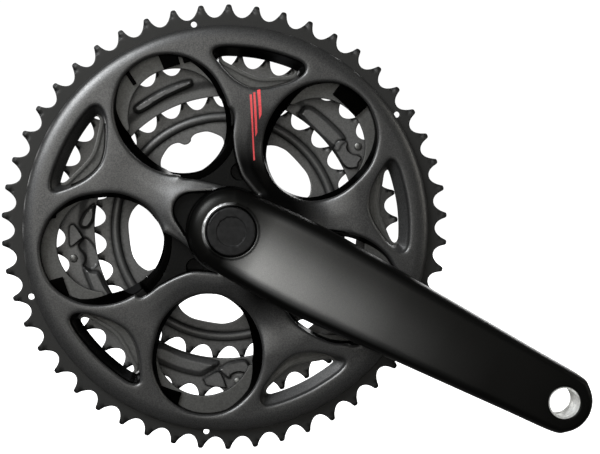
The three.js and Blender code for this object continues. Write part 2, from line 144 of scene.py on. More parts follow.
def curve(knots, spacing):
    """Smooth closed curve through the knots."""
    knots = np.asarray(knots, complex)
    before = np.roll(knots, 1)
    after = np.roll(knots, -1)
    beyond = np.roll(knots, -2)
    t = np.linspace(0, 1, 12, endpoint=False)[:, None]
    points = (
        2 * knots
        + (after - before) * t
        + (2 * before - 5 * knots + 4 * after - beyond) * t ** 2
        + (3 * knots - before - 3 * after + beyond) * t ** 3
    ) / 2
    return spaced_evenly(points.T.ravel(), spacing)


def circle(radius, centre=0, spacing=0.8):
    count = max(16, round(2 * np.pi * radius / spacing))
    return centre + polar(radius, np.arange(count) * 2 * np.pi / count)


def circles(radius, offsets, centre=0, spacing=0.8):
    """Circles round one centre, each an offset larger than the radius."""
    return [circle(radius + offset, centre, spacing) for offset in offsets]


def facing(loop, sign):
    """The loop run anticlockwise for sign 1 and clockwise for sign -1."""
    area = (loop.conj() * np.roll(loop, -1)).imag.sum()
    return loop if area * sign > 0 else loop[::-1]


def left_of(loop):
    """Unit vectors to the left of the way the loop runs."""
    ahead = np.roll(loop, -1) - np.roll(loop, 1)
    return 1j * ahead / abs(ahead)


def grown(loop, amount):
    """The loop moved outwards all round."""
    loop = facing(loop, 1)
    return loop - amount * left_of(loop)


def in_chunks(action, points, edge_count):
    """Runs the action over the points, a few at a time, to save memory."""
    parts = np.array_split(points, 1 + len(points) * edge_count // 3000000)
    return np.concatenate([action(part) for part in parts])


def distance_to(loops, points):
    """Distance from each point to the nearest of the closed loops."""
    starts = np.concatenate(loops)
    along = np.concatenate([np.roll(loop, -1) - loop for loop in loops])

    def nearest(part):
        offset = part[:, None] - starts
        share = np.clip((offset * along.conj()).real / abs(along) ** 2, 0, 1)
        return abs(offset - share * along).min(axis=1)

    return in_chunks(nearest, np.asarray(points, complex), len(starts))


def inside(loops, points):
    """True for each point that an odd number of the loops go round."""
    starts = np.concatenate(loops)
    ends = np.concatenate([np.roll(loop, -1) for loop in loops])
    slope = (ends.real - starts.real) / np.where(ends.imag == starts.imag, 1, ends.imag - starts.imag)

    def odd(part):
        y = part.imag[:, None]
        spans = (starts.imag > y) != (ends.imag > y)
        crossing = starts.real + (y - starts.imag) * slope
        return (spans & (crossing > part.real[:, None])).sum(axis=1) % 2 == 1

    return in_chunks(odd, np.asarray(points, complex), len(starts))


def depth_in(loop, points):
    """Distance to the loop, positive inside it and negative outside."""
    return np.where(inside([loop], points), 1, -1) * distance_to([loop], points)


def kept_run(loop, keep):
    """The one stretch of the loop where keep holds, from its first point on."""
    start = np.flatnonzero(keep & ~np.roll(keep, 1))[0]
    return np.roll(loop, -start)[np.roll(keep, -start)]


def merged(first, second):
    """Outline round two overlapping loops that cross each other twice."""
    first = facing(first, 1)
    second = facing(second, 1)
    return np.concatenate([
        kept_run(first, ~inside([second], first)),
        kept_run(second, ~inside([first], second)),
    ])


def smooth_step(value):
    share = np.clip(value, 0, 1)
    return share * share * (3 - 2 * share)


def softened(values, width):
    """A row of values, each one averaged over that many neighbours."""
    return np.convolve(np.pad(values, width // 2, mode="edge"), np.ones(width) / width, "valid")


def rounding(depth, radius):
    """How far a rounded edge of that radius has dropped, at a depth in from the edge."""
    share = 1 - np.clip(depth / radius, 0, 1)
    return radius * (1 - np.sqrt(1 - share ** 2))


# Solids: lists of points (plane, height), faces and the material number of each face

# The value on each point of a piece that paints light and shade into its colour
SHADE = "shade"
EDGE_INSETS = (0.12, 0.35, 0.7, 1.15)
FRONT = 0
WALL = 1
BACK = 2


def relief(loops, top, bottom, spacing, insets=EDGE_INSETS, creases=(), draft=None, wall_rows=4,
           front_tag=None, wall_tag=None):
    """A plate with the outline loops[0] and a hole at each other loop. The functions top and bottom give the
    height of its faces at each point, from the point and its distance to the outline. The insets are
    distances in from every edge, and the creases rows of points, where the mesh follows a change in height.
    draft gives how far each edge point moves out into the opening on its way from top to bottom.
    front_tag and wall_tag give the material numbers, from the middle of each front face and from each edge
    point."""
    loops = [facing(loop, 1 if number == 0 else -1) for number, loop in enumerate(loops)]
    border = np.concatenate(loops)
    inward = np.concatenate([left_of(loop) for loop in loops])
    starts = np.cumsum([0] + [len(loop) for loop in loops])
    following = np.concatenate([
        np.roll(np.arange(len(loop)), -1) + start for loop, start in zip(loops, starts)
    ])

    groups = [(border + inset * inward, 0.85 * inset) for inset in insets]
    groups += [(crease, 0.25) for crease in creases]
    outer = loops[0]
    columns = np.arange(outer.real.min(), outer.real.max(), spacing)
    rows = np.arange(outer.imag.min(), outer.imag.max(), spacing * 0.87)
    grid = columns[None, :] + spacing / 2 * (np.arange(len(rows)) % 2)[:, None] + 1j * rows[:, None]
    groups.append((grid.ravel(), insets[-1] + 0.45 * spacing))
    candidates = np.concatenate([points for points, _ in groups])
    clearance = np.concatenate([np.full(len(points), least) for points, least in groups])
    candidates, clearance = (values[inside(loops, candidates)] for values in (candidates, clearance))
    candidates = candidates[distance_to(loops, candidates) >= clearance]

    points = np.concatenate([border, candidates])
    plan, _, triangles, sources, _, _ = delaunay_2d_cdt(
        [Vector((p.real, p.imag)) for p in points],
        list(zip(range(len(border)), following.tolist())), [], 0, 1e-6)
    plan = np.array([complex(p.x, p.y) for p in plan])
    triangles = np.array([t for t in triangles if len(t) == 3])
    corners = plan[triangles]
    area = ((corners[:, 1] - corners[:, 0]).conj() * (corners[:, 2] - corners[:, 0])).imag
    triangles = np.where((area > 0)[:, None], triangles, triangles[:, ::-1])
    triangles = triangles[inside(loops, corners.mean(axis=1)) & (abs(area) > 1e-9)]

    edge = np.zeros(len(border), int)
    for number, merged_from in enumerate(sources):
        for source in merged_from:
            if source < len(border):
                edge[source] = number
    depth = distance_to(loops, plan)
    depth[edge] = 0
    upper = top(plan, depth)
    lower = bottom(plan, depth)

    outward = -inward * (draft(border) if draft else 0)
    vertices = [(plan, upper)]
    rows_of_wall = [edge]
    used = len(plan)
    for row in range(1, wall_rows):
        share = row / wall_rows
        vertices.append((border + outward * share, upper[edge] * (1 - share) + lower[edge] * share))
        rows_of_wall.append(np.arange(used, used + len(border)))
        used += len(border)
    under = plan.copy()
    under[edge] = border + outward
    vertices.append((under, lower))
    rows_of_wall.append(edge + used)

    faces = [triangles.tolist(), (triangles[:, ::-1] + used).tolist()]
    tags = front_tag(plan[triangles].mean(axis=1)).tolist() if front_tag else [FRONT] * len(triangles)
    tags += [BACK] * len(triangles)
    wall_tags = wall_tag(border).tolist() if wall_tag else [WALL] * len(border)
    for above, below in zip(rows_of_wall, rows_of_wall[1:]):
        sides = np.stack([above, below, below[following], above[following]], axis=1)
        faces.append(sides.tolist())
        tags += wall_tags
    plane = np.concatenate([part[0] for part in vertices])
    height = np.concatenate([part[1] for part in vertices])
    return plane, height, [face for part in faces for face in part], tags


def level(height):
    """A height function for a flat face."""
    return lambda points, depth: np.full(len(points), float(height))


def carried_round(profile, centre, sides, wobble):
    """The profile's points, (radius, height), at each step of a turn about the line through centre. wobble
    changes the radius, given the turn and the height."""
    radii, heights = np.array(profile, float).T
    turns = np.arange(sides) * 2 * np.pi / sides
    ring_radii = np.repeat(radii[:, None], sides, axis=1)
    ring_heights = np.repeat(heights[:, None], sides, axis=1)
    if wobble:
        ring_radii = ring_radii + wobble(turns[None, :], ring_heights)
    return (centre + polar(ring_radii, turns)).ravel(), ring_heights.ravel()


def turned(profile, centre=0, sides=32, wobble=None):
    """A solid of revolution. The profile runs from the axis at the back to the axis at the front."""
    plane, height = carried_round(profile[1:-1], centre, sides, wobble)
    plane = np.concatenate([[centre], plane, [centre]])
    height = np.concatenate([[profile[0][1]], height, [profile[-1][1]]])
    last = len(plane) - 1
    last_row = last - sides
    faces = []
    for side in range(sides):
        after = (side + 1) % sides
        faces.append([0, 1 + after, 1 + side])
        for start in range(1, last_row, sides):
            faces.append([start + side, start + after, start + sides + after, start + sides + side])
        faces.append([last_row + side, last_row + after, last])
    return plane, height, faces, [FRONT] * len(faces)


def ring_of(profile, centre=0, sides=48, wobble=None):
    """A solid of revolution with a hole: the profile is a closed loop."""
    plane, height = carried_round(profile, centre, sides, wobble)
    faces = []
    for row in range(len(profile)):
        start = row * sides
        above = (row + 1) % len(profile) * sides
        for side in range(sides):
            after = (side + 1) % sides
            faces.append([start + side, start + after, above + after, above + side])
    return plane, height, faces, [FRONT] * len(faces)


def piece(name, solids, materials, replaces=(), body=ROOT_BODY, sharp=38, shade=None):
    """One Blender object from several solids, riding on a CAD body."""
    vertices = []
    faces = []
    tags = []
    for plane, height, solid_faces, solid_tags in solids:
        start = sum(len(part) for part in vertices)
        vertices.append(np.stack([plane.real, -height, plane.imag], axis=1) * MM)
        faces += [[corner + start for corner in face] for face in solid_faces]
        tags += solid_tags
    mesh = bpy.data.meshes.new(name)
    mesh.from_pydata(np.concatenate(vertices).tolist(), [], faces)
    for material in materials:
        mesh.materials.append(material)
    mesh.polygons.foreach_set("material_index", [min(tag, len(materials) - 1) for tag in tags])
    mesh.polygons.foreach_set("use_smooth", [True] * len(faces))
    mesh.set_sharp_from_angle(angle=degrees(sharp))
    if shade is not None:
        layer = mesh.attributes.new(SHADE, "FLOAT", "POINT")
        layer.data.foreach_set("value", np.asarray(shade, np.float32))
    mesh.update()
    made = bpy.data.objects.new(name, mesh)
    bpy.context.scene.collection.objects.link(made)
    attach(made, body)
    if replaces:
        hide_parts(*replaces)
    return made


# Materials

def linear(value):
    """An 8-bit grey or colour value as linear light."""
    return tuple((c / 255) ** 2.2 for c in value) + (1.0,)


def finish_of(name, dark, light, grain=900, spread=(0.35, 0.65), roughness=0.4, uneven=0.06, metallic=0.0,
              bump=0.15, bump_depth=0.00004, specular=0.5, patches=60, shaded=None):
    """A painted, moulded or machined surface: fine grain between two colours, slow changes in the shine,
    and a fine relief. The noise runs through the object, so it has no seams. Where the piece's own SHADE
    value falls to 0, the colour falls to the one named shaded: light and shade painted into the colour."""
    material = bpy.data.materials.new(name)
    material.use_nodes = True
    nodes = material.node_tree.nodes
    links = material.node_tree.links
    shader = nodes["Principled BSDF"]
    shader.inputs["Metallic"].default_value = metallic
    shader.inputs["Specular IOR Level"].default_value = specular
    place = nodes.new("ShaderNodeTexCoord").outputs["Object"]

    def noise(scale, detail):
        node = nodes.new("ShaderNodeTexNoise")
        node.inputs["Scale"].default_value = scale
        node.inputs["Detail"].default_value = detail
        links.new(place, node.inputs["Vector"])
        return node.outputs["Fac"]

    speckle = noise(grain, 2)
    ramp = nodes.new("ShaderNodeValToRGB")
    ramp.color_ramp.elements[0].position = spread[0]
    ramp.color_ramp.elements[0].color = linear(dark)
    ramp.color_ramp.elements[1].position = spread[1]
    ramp.color_ramp.elements[1].color = linear(light)
    links.new(speckle, ramp.inputs["Fac"])
    colour = ramp.outputs["Color"]
    if shaded:
        share = nodes.new("ShaderNodeAttribute")
        share.attribute_name = SHADE
        mix = nodes.new("ShaderNodeMixRGB")
        mix.inputs[1].default_value = linear(shaded)
        links.new(share.outputs["Fac"], mix.inputs[0])
        links.new(colour, mix.inputs[2])
        colour = mix.outputs[0]
    links.new(colour, shader.inputs["Base Color"])

    shine = nodes.new("ShaderNodeMapRange")
    shine.inputs["From Min"].default_value = 0.3
    shine.inputs["From Max"].default_value = 0.7
    shine.inputs["To Min"].default_value = roughness - uneven
    shine.inputs["To Max"].default_value = roughness + uneven
    links.new(noise(patches, 3), shine.inputs["Value"])
    links.new(shine.outputs["Result"], shader.inputs["Roughness"])

    relief_node = nodes.new("ShaderNodeBump")
    relief_node.inputs["Strength"].default_value = bump
    relief_node.inputs["Distance"].default_value = bump_depth
    links.new(noise(grain * 0.8, 3), relief_node.inputs["Height"])
    links.new(relief_node.outputs["Normal"], shader.inputs["Normal"])
    return material


# Its shaded colour is the painted shade round the hub of the cover.
GRAPHITE = finish_of("graphite_paint", (75, 75, 75), (93, 93, 92), grain=1900, roughness=0.4, uneven=0.02,
                     metallic=0.85, bump=0.12, bump_depth=0.00002, shaded=(9, 9, 9))
# Painted shade: near black with almost no shine, on the walls of the windows, the cover's lugs and the
# spider's ledges
WALL_PAINTED_SHADE = finish_of("window_wall_painted_shade", (4, 4, 4), (7, 7, 6), grain=500, roughness=0.26, uneven=0.05,
                        bump=0.05, specular=0.012)
# Painted shade: the black outer walls of the leaf windows that are not lit
LEAF_WALL_PAINTED_SHADE = finish_of("leaf_outer_wall_painted_shade", (5, 5, 5), (8, 8, 7), grain=500, roughness=0.2, uneven=0.05, bump=0.05,
                    specular=0.4)
SATIN_BLACK = finish_of("satin_black", (20, 20, 20), (26, 26, 25), grain=1200, roughness=0.34, specular=0.07)
# The arm is black; its light colour is a painted sheen, laid on where the piece's SHADE value rises.
ARM_BLACK_WITH_PAINTED_SHEEN = finish_of("arm_black", (168, 169, 169), (180, 181, 180), grain=2200, roughness=0.36, uneven=0.02,
                      metallic=0.9, bump=0.1, bump_depth=0.00002, patches=20, shaded=(31, 31, 30))
# Its shaded colour is the painted shade along the feet of the pressed shapes and the bead.
RING_GREY = finish_of("ring_phosphate", (91, 91, 90), (103, 103, 102), grain=1300, roughness=0.46,
                      metallic=0.75, bump=0.12, shaded=(15, 15, 14))
# Its shaded colour is the painted shade on the ring outside the cover.
OUTER_GREY = finish_of("outer_ring_coat", (80, 80, 78), (92, 92, 90), grain=1300, roughness=0.5, metallic=0.7,
                       bump=0.12, shaded=(52, 52, 51))
TOOTH_DARK = finish_of("tooth_edge", (20, 20, 19), (27, 27, 26), grain=1300, roughness=0.6, metallic=0.3,
                       bump=0.12)
STEEL = finish_of("bright_steel", (205, 205, 202), (232, 232, 229), grain=700, roughness=0.34, metallic=0.6,
                  bump=0.1)
DULL_STEEL = finish_of("dull_steel", (92, 92, 90), (120, 120, 117), grain=800, roughness=0.46, metallic=0.9,
                       bump=0.15)
CAP_BLACK = finish_of("cap_moulding", (20, 20, 20), (32, 32, 32), grain=420, spread=(0.3, 0.7),
                      roughness=0.55, bump=0.35, bump_depth=0.00006, specular=0.25)
SALMON = finish_of("salmon_print", (214, 70, 74), (232, 88, 90), grain=1500, roughness=0.45, bump=0.1)


# Chainrings

def pitch_radius(teeth):
    return CHAIN_PITCH / 2 / math.sin(math.pi / teeth)


def toothed_outline(teeth, first):
    radius = pitch_radius(teeth)
    along, height = np.array(TOOTH_PROFILE).T
    tips = first + np.arange(teeth)[:, None] * 2 * np.pi / teeth
    return curve(polar(radius + height, tips + along / radius).ravel(), 0.5)


def tooth_bevel(points, teeth, first):
    """How far the face drops towards the tip of each tooth and its anticlockwise flank."""
    radius = pitch_radius(teeth)
    step = 2 * np.pi / teeth
    along = ((np.angle(points) - first + step / 2) % step - step / 2) * radius
    height = abs(points) - radius
    tip = 0.7 * smooth_step((height - 0.2) / 1.7)
    flank = 0.75 * smooth_step((along - 0.1) / 1.3) * smooth_step((height + 2.0) / 1.2)
    return tip + flank * (1 - 0.6 * smooth_step((height - 0.2) / 1.7))


def bevel_tag(teeth):
    """A function that picks out the bevelled faces of the teeth."""
    return lambda points: np.where(tooth_bevel(points, **teeth) > 0.12, WALL, FRONT)


def leaf_windows(knots, margin=0):
    loops = [curve(knots * np.exp(1j * angle), 0.7) for angle in ARM_ANGLES]
    return [grown(loop, margin) for loop in loops] if margin else loops


def ring_faces(heights, teeth, extra=None):
    """Top and bottom of a chainring between two heights, with bevelled teeth."""
    back, front = heights

    def top(points, depth):
        height = front - rounding(depth, 0.3) - tooth_bevel(points, **teeth)
        return height + (extra(points) if extra else 0)

    def bottom(points, depth):
        return back + rounding(depth, 0.3) + 0.6 * tooth_bevel(points, **teeth)

    return top, bottom


OUTER_HOLE_RADIUS = 1.4
OUTER_HOLE_CIRCLE = 95
OUTER_HOLE_ANGLES = degrees(np.array([33.9, 99.4, 198.6, 263.6]))
LEAF_LIP_HEIGHT = 0.35
LEAF_LIP_WIDTH = 1.6


def outer_chainring():
    holes = [circle(OUTER_HOLE_RADIUS, polar(OUTER_HOLE_CIRCLE, angle), 0.5) for angle in OUTER_HOLE_ANGLES]
    leaves = leaf_windows(RING_LEAF)

    def lips(points):
        return -LEAF_LIP_HEIGHT * smooth_step((distance_to(leaves, points) - LEAF_LIP_WIDTH) / 0.5)

    top, bottom = ring_faces(heights_of("outer_chainring"), OUTER_TEETH, lips)
    solid = relief([toothed_outline(**OUTER_TEETH), scalloped_inside(), *leaves, *holes], top, bottom, 1.5,
                   creases=[grown(leaf, LEAF_LIP_WIDTH + offset) for leaf in leaves
                            for offset in (-0.1, 0.2, 0.7)],
                   front_tag=bevel_tag(OUTER_TEETH))
    # Painted light and shade: the ring is lighter where it lies under the cover and shows through its
    # windows, darker on the teeth outside
    painted_light_under_cover = smooth_step((COVER_RADIUS - 1 - abs(solid[0])) / 4)
    piece("outer_chainring_detail", [solid], [OUTER_GREY, TOOTH_DARK, OUTER_GREY],
          ["outer_chainring"], shade=painted_light_under_cover)


def scalloped_inside():
    """The ring's inner edge: an arc behind each arm of the spider, and a scallop at each big window."""
    meets = math.acos((SCALLOP_CIRCLE ** 2 + RING_INSIDE ** 2 - SCALLOP_RADIUS ** 2)
                      / (2 * SCALLOP_CIRCLE * RING_INSIDE))
    runs = []
    for angle in WINDOW_ANGLES:
        corner = polar(RING_INSIDE, meets) - SCALLOP_CIRCLE
        swing = np.linspace(-1, 1, 60) * np.angle(corner)
        runs.append((SCALLOP_CIRCLE + SCALLOP_RADIUS * np.exp(1j * swing)) * np.exp(1j * angle))
        ahead = np.linspace(meets, 2 * np.pi / ARM_COUNT - meets, 24)[1:-1]
        runs.append(polar(RING_INSIDE, angle + ahead))
    return spaced_evenly(np.concatenate(runs), 0.8)


# Shapes pressed into the middle chainring: outline as (radius, degrees), height, width of its sloped edge
PRESSED_SHAPES = [
    ([(61.8, 56.8), (64, 58.2), (67.3, 57.6), (69.3, 54.5), (69.6, 45), (69.7, 37.2), (66, 36), (61.8, 36.6)],
     1.1, 2.0),
    ([(61.7, 35), (62.6, 37.2), (66.2, 38.3), (69, 36.4), (68.8, 34.9), (67.5, 33.8), (67.4, 31.9),
      (68.5, 30.3), (70.2, 29.1), (71, 27.4), (68.6, 26.2), (67.1, 24.9), (62.4, 27)], 1.5, 0.6),
    ([(71.1, 127.2), (71.3, 123.9), (71.4, 116.3), (71.5, 109.2), (71.3, 104.2), (70, 103.2), (68, 104),
      (67, 110), (66.6, 117), (66.3, 123.5), (67, 127.2), (69.2, 128.4)], 1.5, 1.5),
    ([(73.1, 179), (71.9, 178), (70.3, 178.4), (67, 183), (68.2, 184.1), (73, 186.3), (73.3, 182)], 1.0, 0.5),
    ([(66.5, 183.4), (64.3, 184.1), (61.9, 187.6), (61, 192.1), (61.9, 195), (64, 196.3), (66.5, 196.7),
      (69.2, 194.2), (67.9, 193), (67.3, 191.2), (67.7, 189.4), (69, 187.9), (69.4, 185.9)], -0.8, 0.9),
    ([(68.3, 178.1), (67.8, 175.7), (66.2, 172.7), (63, 169), (61.7, 172), (61.8, 176), (64.2, 179.4),
      (67, 179.6)], 1.1, 1.4),
    ([(69.2, 195), (69.3, 204), (69.4, 212), (66, 214), (62, 213), (62, 205), (62.6, 198.6), (65, 197.1)],
     1.1, 1.7),
    ([(61.8, 240.1), (61.8, 252), (62.3, 263.8), (63.7, 266.4), (66.4, 264.7), (69.3, 261.3), (70.7, 259),
      (70.9, 252.6), (70.9, 244.9), (70.5, 238.5), (66, 236.5)], 1.3, 2.6),
    ([(71.3, 260.9), (67.5, 265.3), (68.4, 267.3), (74.5, 269.3), (75.1, 268.5), (74.5, 262.5),
      (72.7, 261.1)], 0.9, 0.45),
    ([(66.7, 266.1), (64.4, 268.4), (62.8, 271.6), (62.6, 277.4), (66.2, 279), (69.5, 277.6), (68.9, 276),
      (68.3, 273.9), (69.2, 271.5), (70.9, 270.2)], 1.1, 1.1),
]
PRESSING_SCALE = 1.4
MIDDLE_INSIDE = 61.5
MIDDLE_STEP = 1.3
MIDDLE_STEP_RADII = (65.4, 69.6)
TAB_CIRCLE = 57.2
TAB_SIZE = 12


def pressed_outlines():
    for knots, height, slope in PRESSED_SHAPES:
        radii, angles = np.array(knots).T
        yield curve(polar(radii, degrees(angles)), 0.5), height * PRESSING_SCALE, slope


def middle_step(points):
    """How far the inner band of the middle ring is set back."""
    inner, outer = MIDDLE_STEP_RADII
    return MIDDLE_STEP * smooth_step((outer - abs(points)) / (outer - inner))


def middle_relief(points):
    """Height of the middle ring's inner band and pressed shapes."""
    height = -middle_step(points)
    for outline, rise, slope in pressed_outlines():
        share = smooth_step(depth_in(outline, points) / slope)
        height = np.where(share > 0, height * (1 - share * (rise > 0)) + rise * share, height)
    return height


def middle_chainring():
    heights = heights_of("middle_chainring")
    top, bottom = ring_faces(heights, MIDDLE_TEETH, middle_relief)

    def lowered_bottom(points, depth):
        return bottom(points, depth) - middle_step(points)

    creases = []
    for outline, _, slope in pressed_outlines():
        outline = facing(outline, 1)
        creases += [outline + left_of(outline) * inset for inset in (-0.2, 0.05, slope / 2, slope)]
    ring = relief([toothed_outline(**MIDDLE_TEETH), circle(MIDDLE_INSIDE)], top, lowered_bottom, 0.9,
                  creases=creases, front_tag=bevel_tag(MIDDLE_TEETH))
    solids = [ring, *middle_tabs(heights[0] - MIDDLE_STEP, heights[1] - MIDDLE_STEP)]
    plane = np.concatenate([solid[0] for solid in solids])
    on_front = np.concatenate([solid[1] for solid in solids]) > heights[0] + 0.4
    from_pressing = distance_to([outline for outline, _, _ in pressed_outlines()], plane)
    # Painted shade along the feet of the pressed shapes, on the front only
    piece("middle_chainring_detail", solids, [RING_GREY, TOOTH_DARK, RING_GREY],
          ["middle_chainring"], shade=1 - painted_crease_shade(from_pressing) * on_front)


def painted_crease_shade(distance):
    """How dark the painted shade is at that distance from the foot of a pressed shape or bead."""
    return 0.85 * (1 - smooth_step(distance / 0.9))


def middle_tabs(back, front):
    """The tabs that carry the middle ring's rivets, one behind each arm of the spider."""
    square = np.array([-1 - 1j, 1 - 1j, 1 + 1j, -1 + 1j]) * TAB_SIZE / 2
    return [relief(
        [spaced_evenly((square + TAB_CIRCLE) * np.exp(1j * angle), 1.0)],
        lambda points, depth: front - rounding(depth, 0.4),
        lambda points, depth: back + rounding(depth, 0.4), 2.5, insets=(0.15, 0.4), wall_rows=2,
    ) for angle in ARM_ANGLES]


# Opening inside the small ring, from one arm to the next: the half tab over the arm, then (degrees on from
# the arm, radius) along the arc. One of the arcs has a small lobe
INNER_TAB = np.array([35.4, 35.8 + 6.5j, 37.6 + 8.4j, 39.6 + 9.2j, 41.1 + 10.3j])
INNER_ARC = [(18, 44.3), (22.5, 45.5), (29, 46), (43, 46), (49.5, 45.5), (54, 44.3)]
LOBED_ARC = [
    (18, 44.3), (22.8, 46), (28, 46.3), (30.8, 46), (33, 45), (33.7, 43.9), (36, 43.2), (38.4, 43.6),
    (40, 45), (41.2, 45.8), (44.8, 46.5), (49.1, 46), (54.7, 44.4),
]
LOBED_ARM = 1
SMALL_HOLE_RADIUS = 1.2
SMALL_HOLE_CENTRE = polar(44, degrees(213))
BEAD_RADIUS = 52
BEAD_HALF_WIDTH = 2.2


def inner_opening():
    """The opening inside the small ring: five arcs, with a rounded tab behind each arm of the spider."""
    knots = []
    far_tab = polar(1, 2 * np.pi / ARM_COUNT) * INNER_TAB[:0:-1].conj()
    for number, angle in enumerate(ARM_ANGLES):
        steps, radii = np.array(LOBED_ARC if number == LOBED_ARM else INNER_ARC).T
        arc = polar(radii, degrees(steps))
        knots.append(np.concatenate([INNER_TAB, arc, far_tab]) * np.exp(1j * angle))
    return curve(np.concatenate(knots), 0.8)


def inner_chainring():
    back, bead_top = heights_of("inner_chainring")
    front = back + 2

    def bead(points):
        share = np.clip(abs(abs(points) - BEAD_RADIUS) / BEAD_HALF_WIDTH, 0, 1)
        return (bead_top - front) * (1 - share ** 2) ** 0.8

    top, bottom = ring_faces((back, front), INNER_TEETH, bead)
    creases = circles(BEAD_RADIUS, np.linspace(-1, 1, 9) * BEAD_HALF_WIDTH)
    small_hole = circle(SMALL_HOLE_RADIUS, SMALL_HOLE_CENTRE, 0.4)
    solid = relief([toothed_outline(**INNER_TEETH), inner_opening(), small_hole], top, bottom, 1.5,
                   creases=creases, front_tag=bevel_tag(INNER_TEETH))
    from_foot = abs(abs(abs(solid[0]) - BEAD_RADIUS) - BEAD_HALF_WIDTH)
    # Painted shade along both feet of the bead
    piece("inner_chainring_detail", [solid], [RING_GREY, TOOTH_DARK, RING_GREY],
          ["inner_chainring"], shade=1 - painted_crease_shade(from_foot))


# Front cover

# Openings beside the hub, through which the spider's plate shows, and where they join a window
UPPER_NOTCH = curve([
    -26 + 34j, -22.2 + 24.6j, -16 + 23.3j, -10.8 + 22.2j, -4 + 20.6j, 1.4 + 19.3j, 9.5 + 16.6j, 12.6 + 15.6j,
    10.8 + 17.4j, 7.9 + 21j, 5.6 + 24j, 4.4 + 26.8j, 2.4 + 34j, 1.4 + 42j, 0.7 + 55.5j, -18 + 55j,
], 0.6)
LOWER_NOTCH = curve([
    -38 + 1j, -30.4 - 0.5j, -24.5 - 3.3j, -20 - 6.6j, -16.1 - 10.4j, -10.6 - 14.6j, -6.9 - 16.8j,
    -4.6 - 19.2j, -8 - 18.9j, -11 - 18.6j, -17.9 - 18.6j, -25.5 - 21.4j, -31.8 - 24.8j, -42 - 30j, -48 - 14j,
], 0.6)
UPPER_NOTCH_WINDOW = 1
LOWER_NOTCH_WINDOW = 2
# The wall of the window behind the crank leans less than the others
CRANK_WINDOW = 4
CRANK_WINDOW_LEAN = 0.45


def round_window(points):
    """For each point, its distance from the centre of the nearest big window, the window's radius that way
    and the lean of its wall there."""
    centres = polar(WINDOW_CIRCLE, WINDOW_ANGLES)
    nearest = np.argmin(abs(points[:, None] - centres), axis=1)
    offset = (points - centres[nearest]) * np.exp(-1j * WINDOW_ANGLES[nearest])
    direction = np.angle(offset) % (2 * np.pi)
    steps = np.arange(len(WINDOW_RADII) + 1) * 2 * np.pi / len(WINDOW_RADII)
    lean = np.interp(direction, steps, WINDOW_LEAN + WINDOW_LEAN[:1])
    lean = lean * np.where(nearest == CRANK_WINDOW, CRANK_WINDOW_LEAN, 1)
    radius = np.interp(direction, steps, WINDOW_RADII + WINDOW_RADII[:1])
    return abs(offset), radius, lean


def big_windows(margin=0):
    steps = np.arange(len(WINDOW_RADII)) * 2 * np.pi / len(WINDOW_RADII)
    egg = WINDOW_CIRCLE + polar(np.array(WINDOW_RADII) + margin, steps)
    return [curve(egg * np.exp(1j * angle), 0.7) for angle in WINDOW_ANGLES]


def cover_windows():
    windows = big_windows()
    for number, notch in ((UPPER_NOTCH_WINDOW, UPPER_NOTCH), (LOWER_NOTCH_WINDOW, LOWER_NOTCH)):
        windows[number] = spaced_evenly(merged(windows[number], notch), 0.7)
    return windows


def cradle_outline():
    """Where the cover's hub end drops to make room for the crank: a teardrop that widens into a channel."""
    above = np.array([
        -20 + 10j, -12 + 14.6j, -4 + 17j, 5 + 19.2j, 25 + 20.4j, 38 + 20.6j, 42.2 + 22j, 47.7 + 23.8j,
        54 + 24.1j, 60.5 + 24.1j, 67.8 + 22.8j, 73.4 + 20.4j, 76 + 16j, 78 + 8j,
    ])
    below = np.array([78 - 10j, 77 - 21.4j, 60 - 21.4j, 40 - 21.4j, *above[4::-1].conj()])
    knots = np.concatenate([[-28.5, -26.4 + 5.6j], above, below, [-26.4 - 5.6j]])
    return curve(knots * np.exp(1j * CRANK_ANGLE), 0.6)


CROWN_TABLE_RADII = np.arange(0, 100, 0.5)
CROWN_TABLE = softened(np.interp(CROWN_TABLE_RADII, CROWN_RADII, CROWN_HEIGHTS), 25)
# Between the hub and the windows the face falls away from its crests, most on the side of the crank
FALL_OUTSIDE = 62
FALL_RUN = 24
LEAST_FALL = 1.6
EXTRA_FALL = 3.6
# The edge rolls down into the teardrop where the crank's hub end sits
CREST_ROLL = 0.5
CREST_WIDTH = 1.6
WINDOW_EDGE_RADIUS = 1.1
RIM_WIDTH = 6.5
RIM_DROP = 3.6
UNDERSIDE = 19.5
COLLAR_BACK = 16.6
SKIRT_BACK, _ = heights_of("front_cover")
SKIRT_RADIUS = 91.3
# Painted light and shade on the outer walls of the leaf-shaped windows: these leaves' walls take the front's
# colour, and the others' a black one, with this material number
LEAVES_WITH_LIT_WALLS = (0, 2, 4)
LEAF_WALL_SHADE_NUMBER = 3


